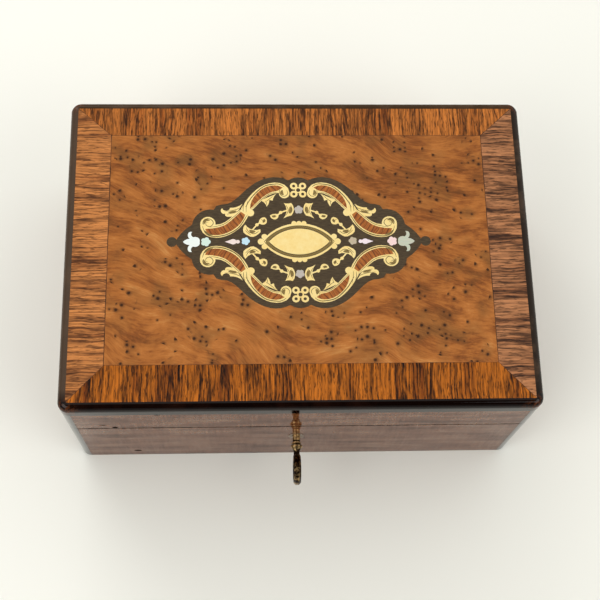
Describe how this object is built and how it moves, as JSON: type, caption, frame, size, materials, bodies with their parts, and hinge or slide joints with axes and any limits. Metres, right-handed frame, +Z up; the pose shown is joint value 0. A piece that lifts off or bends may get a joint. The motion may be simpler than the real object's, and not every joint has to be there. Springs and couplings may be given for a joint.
{
  "type": "marquetry box",
  "caption": "Veneered casket with a hinged lid, burl top with brass and pearl marquetry, ebonised edges, half-mortise lock and turning key.",
  "frame": {"origin": "centre of the underside, on the surface the box stands on", "axes": "+X to the right along the long side, +Y to the hinged back, +Z up; the key is on the -Y side"},
  "size_m": [0.28, 0.229, 0.114],
  "materials": {
    "carcase_wood": "planed mahogany, oiled",
    "side_veneer": "figured veneer under gloss polish",
    "ebonised_wood": "black-stained wood under gloss polish",
    "rosewood": "straight-grained rosewood under gloss polish",
    "rosewood_inlay": "rosewood under gloss polish",
    "burl": "thuja burl under gloss polish",
    "dark_ground": "dark stained wood under gloss polish",
    "brass_inlay": "flush polished brass, engraved",
    "mother_of_pearl": "polished shell",
    "lining_velvet": "short-pile velvet",
    "brass_hardware": "satin brass",
    "steel": "bright steel",
    "key_brass": "aged brass"
  },
  "bodies": {
    "root": {"base_panel": "carcase_wood", "wall_front": "carcase_wood", "wall_back": "carcase_wood", "wall_left": "carcase_wood", "wall_right": "carcase_wood", "veneer_front": "side_veneer", "veneer_back": "side_veneer", "veneer_left": "side_veneer", "veneer_right": "side_veneer", "corner_strips": "ebonised_wood", "lining_front": "lining_velvet", "lining_back": "lining_velvet", "lining_left": "lining_velvet", "lining_right": "lining_velvet", "floor_pad": "lining_velvet", "lock_plate": "brass_hardware", "lock_cap": "brass_hardware", "lock_pins": "steel", "escutcheon": "brass_inlay", "hinge_left_lower_leaf": "brass_hardware", "hinge_right_lower_leaf": "brass_hardware", "hinge_pins": "steel", "carcase_screws": "steel"},
    "lid": {"lid_board": "carcase_wood", "lid_wall_front": "carcase_wood", "lid_wall_back": "carcase_wood", "lid_wall_left": "carcase_wood", "lid_wall_right": "carcase_wood", "lid_veneer_front": "side_veneer", "lid_veneer_back": "side_veneer", "lid_veneer_left": "side_veneer", "lid_veneer_right": "side_veneer", "lid_corner_strips": "ebonised_wood", "edge_moulding_front": "ebonised_wood", "edge_moulding_back": "ebonised_wood", "edge_moulding_left": "ebonised_wood", "edge_moulding_right": "ebonised_wood", "crossbanding_front": "rosewood", "crossbanding_back": "rosewood", "crossbanding_left": "rosewood", "crossbanding_right": "rosewood", "burl_field": "burl", "medallion_ground": "dark_ground", "brass_scrolls": "brass_inlay", "rosewood_inlays": "rosewood_inlay", "brass_cartouche": "brass_inlay", "brass_rings": "brass_inlay", "brass_flowers": "brass_inlay", "pearl_fleurs": "mother_of_pearl", "pearl_blossoms": "mother_of_pearl", "pearl_drops": "mother_of_pearl", "hinge_left_upper_leaf": "brass_hardware", "hinge_right_upper_leaf": "brass_hardware", "link_plate": "brass_hardware", "lid_screws": "steel", "lid_lining_pad": "lining_velvet", "lid_lining_walls": "lining_velvet"},
    "key": {"key": "key_brass"},
    "bolt": {"lock_bolt": "steel"}
  },
  "joints": [
    {"name": "lid_hinge", "type": "hinge", "parent": "root", "child": "lid", "pos_m": [0, 0.096, 0.072], "axis": [-1, 0, 0], "range_deg": [0, 95]},
    {"name": "key_turn", "type": "hinge", "parent": "root", "child": "key", "pos_m": [-0.0015, -0.099, 0.049], "axis": [0, 1, 0], "range_deg": [0, 360]},
    {"name": "bolt_slide", "type": "slide", "parent": "root", "child": "bolt", "axis": [1, 0, 0], "range_m": [0, 0.006]}
  ],
  "couplings": [
    {"joint": "bolt_slide", "follows": "key_turn", "m_per_rad": 0.0009549}
  ]
}
